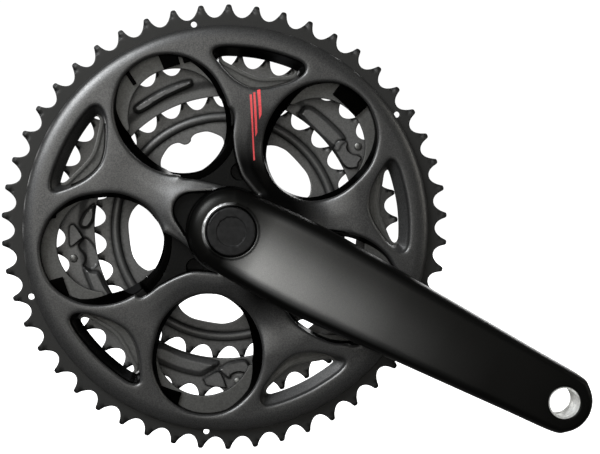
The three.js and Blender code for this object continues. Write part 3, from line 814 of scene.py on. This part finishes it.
class CoverSurface:
    """Heights of the cover's front and back."""

    def __init__(self):
        self.leaves = leaf_windows(COVER_LEAF)
        self.windows = [*cover_windows(), *self.leaves]
        self.cradle = cradle_outline()
        self.crests = [self.cradle, circle(HUB_OPENING), UPPER_NOTCH, LOWER_NOTCH]

    def top(self, points, depth=None):
        radius = abs(points)
        height = np.interp(radius, CROWN_TABLE_RADII, CROWN_TABLE)
        from_window = distance_to(self.windows, points)
        near_hub = smooth_step((FALL_OUTSIDE - radius) / FALL_RUN)
        from_crest = distance_to(self.crests, points)
        band = from_crest / np.maximum(from_crest + from_window, 0.01)
        fall = LEAST_FALL + EXTRA_FALL * smooth_step((points.real / np.maximum(radius, 1) + 0.3) / 0.6)
        height = height - near_hub * fall * band
        roll = 0.35 * (1 - np.clip(from_window / 2.6, 0, 1)) ** 2
        height = height - roll - rounding(from_window, WINDOW_EDGE_RADIUS)
        rim = np.clip((radius - (COVER_RADIUS - RIM_WIDTH)) / RIM_WIDTH, 0, 1)
        height = height - RIM_DROP * (1 - np.sqrt(1 - rim ** 2))
        inside_cradle = depth_in(self.cradle, points)
        along = (points * np.exp(-1j * CRANK_ANGLE)).real
        floor = CRADLE_FLOOR + (POCKET_FLOOR - CRADLE_FLOOR) * smooth_step((6 - along) / 10)
        near_cradle = (1 - np.clip(-inside_cradle / CREST_WIDTH, 0, 1)) ** 2
        height = height - CREST_ROLL * near_cradle * (inside_cradle < 0)
        return height - (height - floor) * smooth_step((inside_cradle + 0.1) / 1.1) * (inside_cradle > -0.1)

    def bottom(self, points, depth=None):
        radius = abs(points)
        from_window = distance_to(self.windows, points)
        height = np.where(from_window < 1.3, COLLAR_BACK, UNDERSIDE)
        return np.where(radius > SKIRT_RADIUS, SKIRT_BACK, height)

    def on_leaf(self, points):
        """True for the edge points of the leaf-shaped windows."""
        return distance_to(self.leaves, points) < 0.3

    def draft(self, points):
        """The windows' walls lean in. The leaf windows have a long sloped wall on their outer side."""
        across, radius, lean = round_window(points)
        from_notch = distance_to([UPPER_NOTCH, LOWER_NOTCH], points)
        lean = lean * (abs(across - radius) < 0.6) * smooth_step(from_notch / 5)
        leaf_lean = 0.9 + 3.3 * smooth_step((abs(points) - 75) / 6)
        return np.where(self.on_leaf(points), leaf_lean, lean)

    def wall_tag(self, points):
        # Painted light and shade: the outer walls of some leaves take the front's colour, the others a black
        # one
        painted = np.any([
            abs(np.angle(points * np.exp(-1j * ARM_ANGLES[arm]))) < degrees(20) for arm in LEAVES_WITH_LIT_WALLS
        ], axis=0)
        on_leaf = self.on_leaf(points)
        outer = abs(points) > 74
        return np.select([on_leaf & painted & outer, on_leaf & ~painted], [FRONT, LEAF_WALL_SHADE_NUMBER], WALL)

    def front_tag(self, points):
        """Painted shade: the floor round the hub, under the crank's hub end, takes the black of the back."""
        return np.where(depth_in(self.cradle, points) > 0.35, BACK, FRONT)


COVER = CoverSurface()


def front_cover():
    creases = [grown(COVER.cradle, offset) for offset in (1.0, 0.5, 0.15, -0.2, -0.5, -0.8, -1.1)]
    creases += circles(COVER_RADIUS, (-2.4, -2, -1.2, -3.4, -4.6, -6), spacing=0.9)
    shell = relief([circle(COVER_RADIUS), circle(HUB_OPENING), *COVER.windows], COVER.top, COVER.bottom, 1.3,
                   insets=(0.12, 0.35, 0.75, 1.2, 1.5, 2.2), creases=creases, draft=COVER.draft, wall_rows=6,
                   front_tag=COVER.front_tag, wall_tag=COVER.wall_tag)
    solids = [shell, *cover_lugs()]
    # Painted shade round the hub, on the side of the crank
    shade = 1 - painted_shade_near_hub(np.concatenate([solid[0] for solid in solids]))
    piece("front_cover_shell", solids, [GRAPHITE, WALL_PAINTED_SHADE, SATIN_BLACK, LEAF_WALL_PAINTED_SHADE],
          ["front_cover"], sharp=34, shade=shade)


def painted_shade_near_hub(points):
    """Painted shade: the cover's graphite colour darkens to black round the hub, on the side of the crank,
    and less so right beside the upper notch.
    """
    ahead = (points * np.exp(-1j * degrees(8))).real / np.maximum(abs(points), 1)
    near_hub = smooth_step((48 - abs(points)) / 18) * smooth_step((ahead + 0.05) / 0.35)
    from_notch = distance_to([UPPER_NOTCH], points)
    return near_hub * (0.3 + 0.7 * smooth_step((from_notch - 0.8) / 1.2))


# Lugs of the cover that reach down over the outer ring inside the windows, in degrees round the ring
LUGS = [
    (41.3, 52.2), (99.8, 104.9), (106.2, 111.8), (122.0, 123.3), (171, 176), (195.6, 203.5), (246.6, 253.7),
]
LUG_INSIDE = 78.7
LUG_OUTSIDE = 87
LUG_FRONT = 17.4


def cover_lugs():
    back = heights_of("outer_chainring")[1] + 0.2
    made = []
    for start, end in LUGS:
        sweep = degrees(np.linspace(start, end, max(3, round((end - start) * 1.5))))
        outline = np.concatenate([polar(LUG_OUTSIDE, sweep), polar(LUG_INSIDE, sweep[::-1])])
        plane, height, faces, tags = relief(
            [spaced_evenly(outline, 0.6)], lambda points, depth: LUG_FRONT - rounding(depth, 0.3),
            level(back), 2, insets=(0.2, 0.5), wall_rows=2)
        made.append((plane, height, faces, [WALL] * len(tags)))
    return made


# Three slanted stripes printed on the cover: their corners in the plane
STRIPES = [
    [9.3 + 61.6j, 10.3 + 61.8j, 11.0 + 48j, 11.7 + 32j, 11.0 + 31.6j, 10.2 + 48j],
    [10.9 + 62.6j, 11.9 + 62.8j, 12.7 + 50j, 12.9 + 44.4j, 12.0 + 42.5j, 11.6 + 50j],
    [12.7 + 63.7j, 14.2 + 64.2j, 14.6 + 57j, 14.8 + 52.7j, 13.7 + 50.3j, 13.3 + 57j],
]
PRINT_HEIGHT = 0.05


def stripes():
    for number, corners in enumerate(STRIPES):
        outline = spaced_evenly(np.array(corners), 0.35)
        solid = relief([outline], lambda points, depth: COVER.top(points) + PRINT_HEIGHT,
                       lambda points, depth: COVER.top(points) - PRINT_HEIGHT, 0.5, insets=(0.15,),
                       wall_rows=1)
        piece(f"printed_stripe_{number + 1}", [solid], [SALMON])


# Spider

SPIDER_BACK, SPIDER_FRONT = 16.5, 19.2
SPIDER_RADIUS = 91
SPIDER_BORE = 17.3
COLLAR_RADIUS = 26
RIB_HALF_WIDTH = 5.5
RIB_END = 63.5
RIB_BACK = heights_of("spider")[0]
NOTCH_POCKETS = [5 + 26.6j, -15.6 - 17.3j]
POCKET_RADIUS = 4.3
POCKET_DEPTH = 4.5
# A step down in the plate, round the hub end of each big window
LEDGE_WIDTH = 3.1
LEDGE_DEPTH = 1.2
LEDGE_OUTSIDE = 48
# How far the plate's windows stand back from the cover's
WINDOW_MARGIN = 0.4
LEAF_MARGIN = 1.4


def spider():
    windows = big_windows(WINDOW_MARGIN) + leaf_windows(COVER_LEAF, LEAF_MARGIN)

    def draft(points):
        across, radius, lean = round_window(points)
        return lean * (abs(across - radius - WINDOW_MARGIN) < 0.5)

    def top(points, depth):
        height = SPIDER_FRONT - rounding(depth, 0.4) - LEDGE_DEPTH * on_ledge(points)
        for centre in NOTCH_POCKETS:
            height = height - POCKET_DEPTH * smooth_step((POCKET_RADIUS - abs(points - centre)) / 0.7)
        return height

    def on_ledge(points):
        in_from_window = smooth_step((LEDGE_WIDTH - distance_to(windows, points)) / 0.5)
        return in_from_window * smooth_step((LEDGE_OUTSIDE - abs(points)) / 2)

    def bottom(points, depth):
        share = smooth_step((COLLAR_RADIUS + 0.8 - abs(points)) / 0.9)
        for angle in ARM_ANGLES:
            turned_points = points * np.exp(-1j * angle)
            across = smooth_step((RIB_HALF_WIDTH + 0.6 - abs(turned_points.imag)) / 0.9)
            ends = smooth_step((RIB_END - turned_points.real) / 1.5) * (turned_points.real > 0)
            share = np.maximum(share, across * ends)
        return SPIDER_BACK - (SPIDER_BACK - RIB_BACK) * share + rounding(depth, 0.4)

    creases = circles(COLLAR_RADIUS, (-0.1, 0.3, 0.9), spacing=1.2)
    for rim in big_windows(WINDOW_MARGIN):
        creases += [grown(rim, LEDGE_WIDTH - inset)[abs(rim) < LEDGE_OUTSIDE] for inset in (0.5, 0.25, 0)]
    for centre in NOTCH_POCKETS:
        creases += circles(POCKET_RADIUS, (-0.8, -0.5, 0), centre, 0.6)
    for angle in ARM_ANGLES:
        run = np.arange(COLLAR_RADIUS + 1, RIB_END + 0.5, 1.2)
        creases += [(run + 1j * side * (RIB_HALF_WIDTH + offset)) * np.exp(1j * angle)
                    for side in (-1, 1) for offset in (-0.4, 0.1, 0.7)]
    # The ledges round the hub ends of the windows take the near black of the walls, a painted shade
    solid = relief([circle(SPIDER_RADIUS, 0, 1.2), circle(SPIDER_BORE), *windows], top, bottom, 2.2,
                   insets=(0.2, 0.5, 1.2), creases=creases, draft=draft,
                   front_tag=lambda points: np.where(on_ledge(points) > 0.05, WALL, FRONT))
    piece("spider_casting", [solid], [SATIN_BLACK, WALL_PAINTED_SHADE, SATIN_BLACK], ["spider"])


# Crank arm

ARM_RUN = [0, 12, 25, 42, 62, 90, 125, 155, 170, 184]
ARM_FRONT = [34.2, 34.1, 35.7, 37.1, 38.5, 41, 44, 46.8, 47.8, 48]
ARM_BACK = [21.8, 22, 22.6, 24.3, 25.4, 27.2, 30, 32.8, 34.1, 34.2]
ARM_HALF_WIDTH = [19.5, 20.2, 20.9, 21, 20.2, 18.8, 17, 15.4, 14.8, 14.6]
ARM_FLANK_WIDTH = [8.2, 8, 7.9, 7.7, 7.2, 6.2, 5, 4.1, 3.6, 3.4]
# A painted sheen on the arm's flat face, as a share along the arm: it is bright beside the cap and fades out
# towards the pedal
PAINTED_SHEEN_RUN = [2, 16, 40, 62, 85, 110, 135]
PAINTED_SHEEN_SHARE = [0, 0.55, 0.5, 0.34, 0.13, 0.04, 0]
HUB_RADIUS = 19.5
HUB_BARREL_RADIUS = 17
CAP_BORE = 11.2
CAP_BORE_FLOOR = 18
LIP_RADIUS = 12.1
LIP_HALF_WIDTH = 0.65
LIP_HEIGHT = 0.3
EYE_RADIUS = 14.7
PEDAL_BORE = 7.3
PEDAL_THREAD_PITCH = 1.27
BACK_ROUNDING = 3


def smoothed(run, table):
    """The table's value at each place along the arm, without kinks."""
    fine = np.arange(-20, 205, 1.0)
    return np.interp(run, fine, softened(np.interp(fine, ARM_RUN, table), 15))


def arm_outline():
    run = np.array([14, 25, 42, 62, 90, 125, 150])
    side = run + 1j * np.interp(run, ARM_RUN, ARM_HALF_WIDTH)
    end = CRANK_LENGTH + polar(EYE_RADIUS, degrees(np.array([80, 55, 28, 0, -28, -55, -80])))
    hub = polar(HUB_RADIUS, degrees(np.linspace(-100, -260, 11)))
    return curve(np.concatenate([side, end, side[::-1].conj(), hub]), 0.7)


def crank_arm():
    outline = arm_outline()
    eye = complex(CRANK_LENGTH, 0)

    def flank_share(points):
        width = smoothed(points.real, ARM_FLANK_WIDTH)
        return 1 - np.clip(distance_to([outline], points) / width, 0, 1)

    def top(points, depth):
        front = smoothed(points.real, ARM_FRONT)
        back = smoothed(points.real, ARM_BACK)
        middle = (front - back) * 0.52
        height = front - middle * (1 - np.sqrt(1 - flank_share(points) ** 2.3))
        lip = 1 - np.clip(abs(abs(points) - LIP_RADIUS) / LIP_HALF_WIDTH, 0, 1) ** 2
        height = height + LIP_HEIGHT * lip - rounding(abs(points) - CAP_BORE, 0.7)
        return height - rounding(abs(points - eye) - PEDAL_BORE, 0.8)

    def bottom(points, depth):
        back = smoothed(points.real, ARM_BACK)
        height = back + rounding(distance_to([outline], points), BACK_ROUNDING)
        barrel = smooth_step((HUB_BARREL_RADIUS + 0.3 - abs(points)) / 0.3)
        chamfer = 0.6 * smooth_step((abs(points) - HUB_BARREL_RADIUS + 0.8) / 0.8)
        height = height * (1 - barrel) + chamfer * barrel
        return height + rounding(abs(points - eye) - PEDAL_BORE, 0.8)

    creases = circles(LIP_RADIUS, (-0.3, 0, 0.3, LIP_HALF_WIDTH))
    creases += circles(HUB_BARREL_RADIUS, (-0.8, -0.4, -0.02, 0.15, 0.35))
    insets = (0.1, 0.3, 0.6, 1, 1.5, 2.1, 2.8, 3.6, 4.5, 5.5, 6.6, 7.7, 8.8)
    loops = [outline, circle(CAP_BORE, 0, 0.6), circle(PEDAL_BORE, eye, 0.5)]
    plane, height, faces, tags = relief(loops, top, bottom, 1.6, insets=insets, creases=creases)
    # Painted sheen: the flat face is painted light, most along one edge of the face, by the share along the
    # arm
    flat = smooth_step((height - smoothed(plane.real, ARM_FRONT) + 1.1) / 1.1)
    across = 1 - 0.85 * smooth_step((plane.imag + 12) / 26)
    painted_sheen = flat * across * np.interp(plane.real, PAINTED_SHEEN_RUN, PAINTED_SHEEN_SHARE)
    # A painted highlight: the lip of the cap's bore is painted bright on the side away from the crank
    glint_way = (plane * np.exp(1j * (CRANK_ANGLE - degrees(150)))).real / np.maximum(abs(plane), 1)
    painted_glint = 0.8 * smooth_step((LIP_RADIUS + 0.9 - abs(plane)) / 0.3) * smooth_step((glint_way - 0.3) / 0.5)
    painted_sheen = np.maximum(painted_sheen, painted_glint)
    plane = plane * np.exp(1j * CRANK_ANGLE)
    piece("crank_arm_forging", [(plane, height, faces, tags)], [ARM_BLACK_WITH_PAINTED_SHEEN], ["crank_arm"],
          sharp=40, shade=painted_sheen)


SOCKET_WIDTH = 11.5


def hub_core():
    """The square taper socket at the back of the hub, below the bolt's seat."""
    corners = np.array([1 + 1j, -1 + 1j, -1 - 1j, 1 - 1j]) * SOCKET_WIDTH / 2
    socket = spaced_evenly(corners * np.exp(1j * CRANK_ANGLE), 0.5)
    core = relief([circle(CAP_BORE + 0.05, 0, 0.6), socket], level(CAP_BORE_FLOOR), level(0.4), 1.5,
                  insets=(0.3,), draft=lambda border: np.where(abs(border) < 9, -0.6, 0))
    piece("spindle_socket_core", [core], [DULL_STEEL])


def thread(depth, pitch):
    """A change in radius that winds round as a screw thread."""
    def wobble(turns, heights):
        phase = (heights / pitch - turns / (2 * np.pi)) % 1
        return -depth * abs(2 * phase - 1)
    return wobble


def pedal_bore():
    """The machined thread in the pedal eye, with a chamfer at each end."""
    back = ARM_BACK[-1]
    front = ARM_FRONT[-1] - 0.1
    profile = [(PEDAL_BORE + 0.02, back + 0.1), (PEDAL_BORE + 0.02, front - 0.1)]
    profile.append((PEDAL_BORE - 0.1, front - 0.05))
    profile += [(PEDAL_BORE - 0.35, height) for height in np.linspace(front - 0.9, back + 0.9, 44)]
    profile.append((PEDAL_BORE - 0.1, back + 0.05))

    def inner_thread(turns, heights):
        inner = (heights > back + 0.5) & (heights < front - 0.5)
        return inner * thread(0.5, PEDAL_THREAD_PITCH)(turns, heights)

    solid = ring_of(profile, polar(CRANK_LENGTH, CRANK_ANGLE), 40, inner_thread)
    piece("pedal_thread", [solid], [STEEL], sharp=50)


# Dust cap, bolt and washer

BOLT_HEAD_WIDTH = 14
BOLT_THREAD_PITCH = 1.0


def dust_cap():
    skirt_back, front = heights_of("dust_cap")
    radius = 10.9
    dish_radius = 6.9
    skirt_inside = 9.4
    notch_way = polar(1, degrees(142))
    notch_distance = 9.7

    def top(points, depth):
        height = front - rounding(depth, 0.6) - 0.4 * smooth_step((dish_radius - abs(points)) / 0.4)
        return height - 1.8 * smooth_step(((points * notch_way.conjugate()).real - notch_distance) / 0.25)

    def bottom(points, depth):
        return skirt_back + 4 * smooth_step((skirt_inside - abs(points)) / 0.3)

    chord = np.arange(-4.4, 4.5, 0.35) * 1j
    creases = [(chord + notch_distance + offset) * notch_way for offset in (-0.02, 0.12, 0.27)]
    creases += circles(dish_radius, (-0.4, -0.2, 0), spacing=0.5)
    creases += circles(skirt_inside, (-0.3, 0), spacing=0.5)
    solid = relief([circle(radius, 0, 0.5)], top, bottom, 1.0, insets=(0.08, 0.2, 0.4, 0.6), creases=creases)
    piece("dust_cap_moulding", [solid], [CAP_BLACK], ["dust_cap"], "cap")


def crank_bolt():
    end, head_top = heights_of("crank_bolt")
    seat = CAP_BORE_FLOOR + 2.2
    flange_top = seat + 1.6
    hexagon = spaced_evenly(polar(BOLT_HEAD_WIDTH / math.sqrt(3), np.arange(6) * np.pi / 3), 0.8)

    def chamfered(points, depth):
        return head_top - 0.7 * np.clip(abs(points) - BOLT_HEAD_WIDTH / 2, 0, 1) - rounding(depth, 0.3)

    head = relief([hexagon, circle(3.2, 0, 0.6)], chamfered, level(flange_top - 0.3), 1.2,
                  insets=(0.15, 0.35, 0.8))
    steps = np.linspace(end + 1, seat - 1.2, 46)
    shank = [(0, end), (3.2, end), (3.9, end + 0.7)] + [(4, height) for height in steps]
    flange = [(4, seat), (8.2, seat), (8.6, seat + 0.3)]
    flange += [(8.6, flange_top - 0.5), (8.1, flange_top), (0, flange_top)]

    def shank_thread(turns, heights):
        inner = (heights > end + 0.9) & (heights < seat - 1.1)
        return inner * thread(0.6, BOLT_THREAD_PITCH)(turns, heights)

    body = turned(shank + flange, 0, 36, shank_thread)
    piece("crank_bolt_detail", [body, head], [STEEL], ["crank_bolt"], "bolt", sharp=45)


def bolt_washer():
    back, front = heights_of("bolt_washer")
    profile = [(4.3, back + 0.2), (4.5, back), (9.2, back), (9.5, back + 0.3), (9.5, front - 0.3),
               (9.2, front), (4.5, front), (4.3, front - 0.2)]
    piece("bolt_washer_detail", [ring_of(profile)], [DULL_STEEL], ["bolt_washer"], "washer")


# Rivets, spacers, screws and pins

def headed(node, head_radius, head_height, shank_radius, material, domed_end=False):
    """A pin with a domed head at the back, where its CAD node is."""
    back, front = heights_of(node)
    dome = [(head_radius * math.sin(turn), back + head_height * 0.9 * (1 - math.cos(turn)))
            for turn in np.linspace(0.15, math.pi / 2, 7)]
    profile = [(0, back), *dome, (head_radius, back + head_height), (shank_radius, back + head_height)]
    if domed_end:
        profile += [(shank_radius * math.cos(turn), front - 0.7 + 0.7 * math.sin(turn))
                    for turn in np.linspace(0, math.pi / 2 - 0.2, 6)]
    else:
        profile += [(shank_radius, front - 0.4), (shank_radius - 0.4, front)]
    profile.append((0, front))
    piece(f"{node}_domed", [turned(profile, centre_of(node), 28)], [material], [node], sharp=30)


def fasteners():
    for number in range(1, ARM_COUNT + 1):
        for group in ("outer_rivet", "middle_rivet", "inner_rivet"):
            headed(f"{group}_{number}", 4.2, 1.6, 2.5, DULL_STEEL)
        headed(f"cover_screw_{number}", 2.8, 1.9, 1.4, STEEL)
        spacer(number)
    for number in range(1, 4):
        headed(f"shift_pin_{number}", 2.9, 1.5, 1.9, DULL_STEEL, domed_end=True)


def spacer(number):
    node = f"inner_spacer_{number}"
    back, front = heights_of(node)
    profile = [(2.8, back), (4.7, back), (5, back + 0.3), (5, front - 0.3), (4.7, front), (2.8, front)]
    piece(f"{node}_turned", [ring_of(profile, centre_of(node), 32)], [SATIN_BLACK], [node])


# Camera, floor and light

CAMERA_PLACE = (-0.039365, -0.634402, 0.037910)
CAMERA_YAW = 0.11685
CAMERA_PITCH = -0.05965
LENS = 80.51
FLOOR_DROP = 0.05


def camera():
    data = bpy.data.cameras.new("camera")
    data.lens = LENS
    data.sensor_width = 36
    made = bpy.data.objects.new("camera", data)
    made.location = CAMERA_PLACE
    made.rotation_euler = (math.pi / 2 + CAMERA_PITCH, 0, -CAMERA_YAW)
    bpy.context.scene.collection.objects.link(made)
    bpy.context.scene.camera = made


def softbox(name, place, aim, size, power, colour=(1, 1, 1)):
    data = bpy.data.lights.new(name, "AREA")
    data.shape = "RECTANGLE"
    data.size, data.size_y = size
    data.energy = power
    data.color = colour
    made = bpy.data.objects.new(name, data)
    made.location = place
    made.rotation_euler = (Vector(aim) - Vector(place)).to_track_quat("-Z", "Y").to_euler()
    made.visible_camera = False
    bpy.context.scene.collection.objects.link(made)


def lights():
    softbox("key_light", (-1.0, -1.1, 1.0), (0, 0, 0), (0.8, 0.8), 40, (0.95, 0.97, 1))
    softbox("front_light", (-0.45, -2.0, 0.35), (0, 0, 0), (1.3, 1.1), 9.5, (1, 0.982, 0.945))
    softbox("side_light", (1.3, -0.5, 0.3), (0, 0, 0), (0.3, 0.8), 2.4, (1, 0.97, 0.9))
    softbox("back_light", (0.6, 1.5, 0.8), (0, 0, 0), (1.2, 1.2), 22)
    softbox("back_fill", (-1.2, 1.0, 0.3), (0, 0, 0), (0.9, 0.9), 10)


def studio():
    """A white backdrop that only the camera sees, so that the dark paint reflects the soft lights alone."""
    world = bpy.data.worlds.new("studio")
    bpy.context.scene.world = world
    world.use_nodes = True
    nodes = world.node_tree.nodes
    links = world.node_tree.links
    dim = nodes["Background"]
    dim.inputs["Color"].default_value = (1, 0.99, 0.97, 1)
    dim.inputs["Strength"].default_value = 0.11
    bright = nodes.new("ShaderNodeBackground")
    bright.inputs["Color"].default_value = (1, 1, 1, 1)
    bright.inputs["Strength"].default_value = 1.05
    mix = nodes.new("ShaderNodeMixShader")
    links.new(nodes.new("ShaderNodeLightPath").outputs["Is Camera Ray"], mix.inputs["Fac"])
    links.new(dim.outputs["Background"], mix.inputs[1])
    links.new(bright.outputs["Background"], mix.inputs[2])
    links.new(mix.outputs["Shader"], nodes["World Output"].inputs["Surface"])
    bpy.context.scene.view_settings.view_transform = "Standard"


def floor():
    level_z = CAD_BOX[0].z - FLOOR_DROP
    half = 6
    mesh = bpy.data.meshes.new("studio_floor")
    mesh.from_pydata([(-half, -half, level_z), (half, -half, level_z), (half, half, level_z),
                      (-half, half, level_z)], [], [(0, 1, 2, 3)])
    material = bpy.data.materials.new("pale_floor")
    material.use_nodes = True
    shader = material.node_tree.nodes["Principled BSDF"]
    shader.inputs["Base Color"].default_value = (0.8, 0.8, 0.8, 1)
    shader.inputs["Roughness"].default_value = 0.9
    shader.inputs["Emission Color"].default_value = (1, 1, 1, 1)
    shader.inputs["Emission Strength"].default_value = 0.96
    mesh.materials.append(material)
    made = bpy.data.objects.new("studio_floor", mesh)
    made.visible_diffuse = False
    made.visible_glossy = False
    bpy.context.scene.collection.objects.link(made)


camera()
lights()
studio()
floor()
outer_chainring()
middle_chainring()
inner_chainring()
spider()
front_cover()
stripes()
crank_arm()
hub_core()
pedal_bore()
dust_cap()
crank_bolt()
bolt_washer()
fasteners()

bpy.context.view_layer.update()
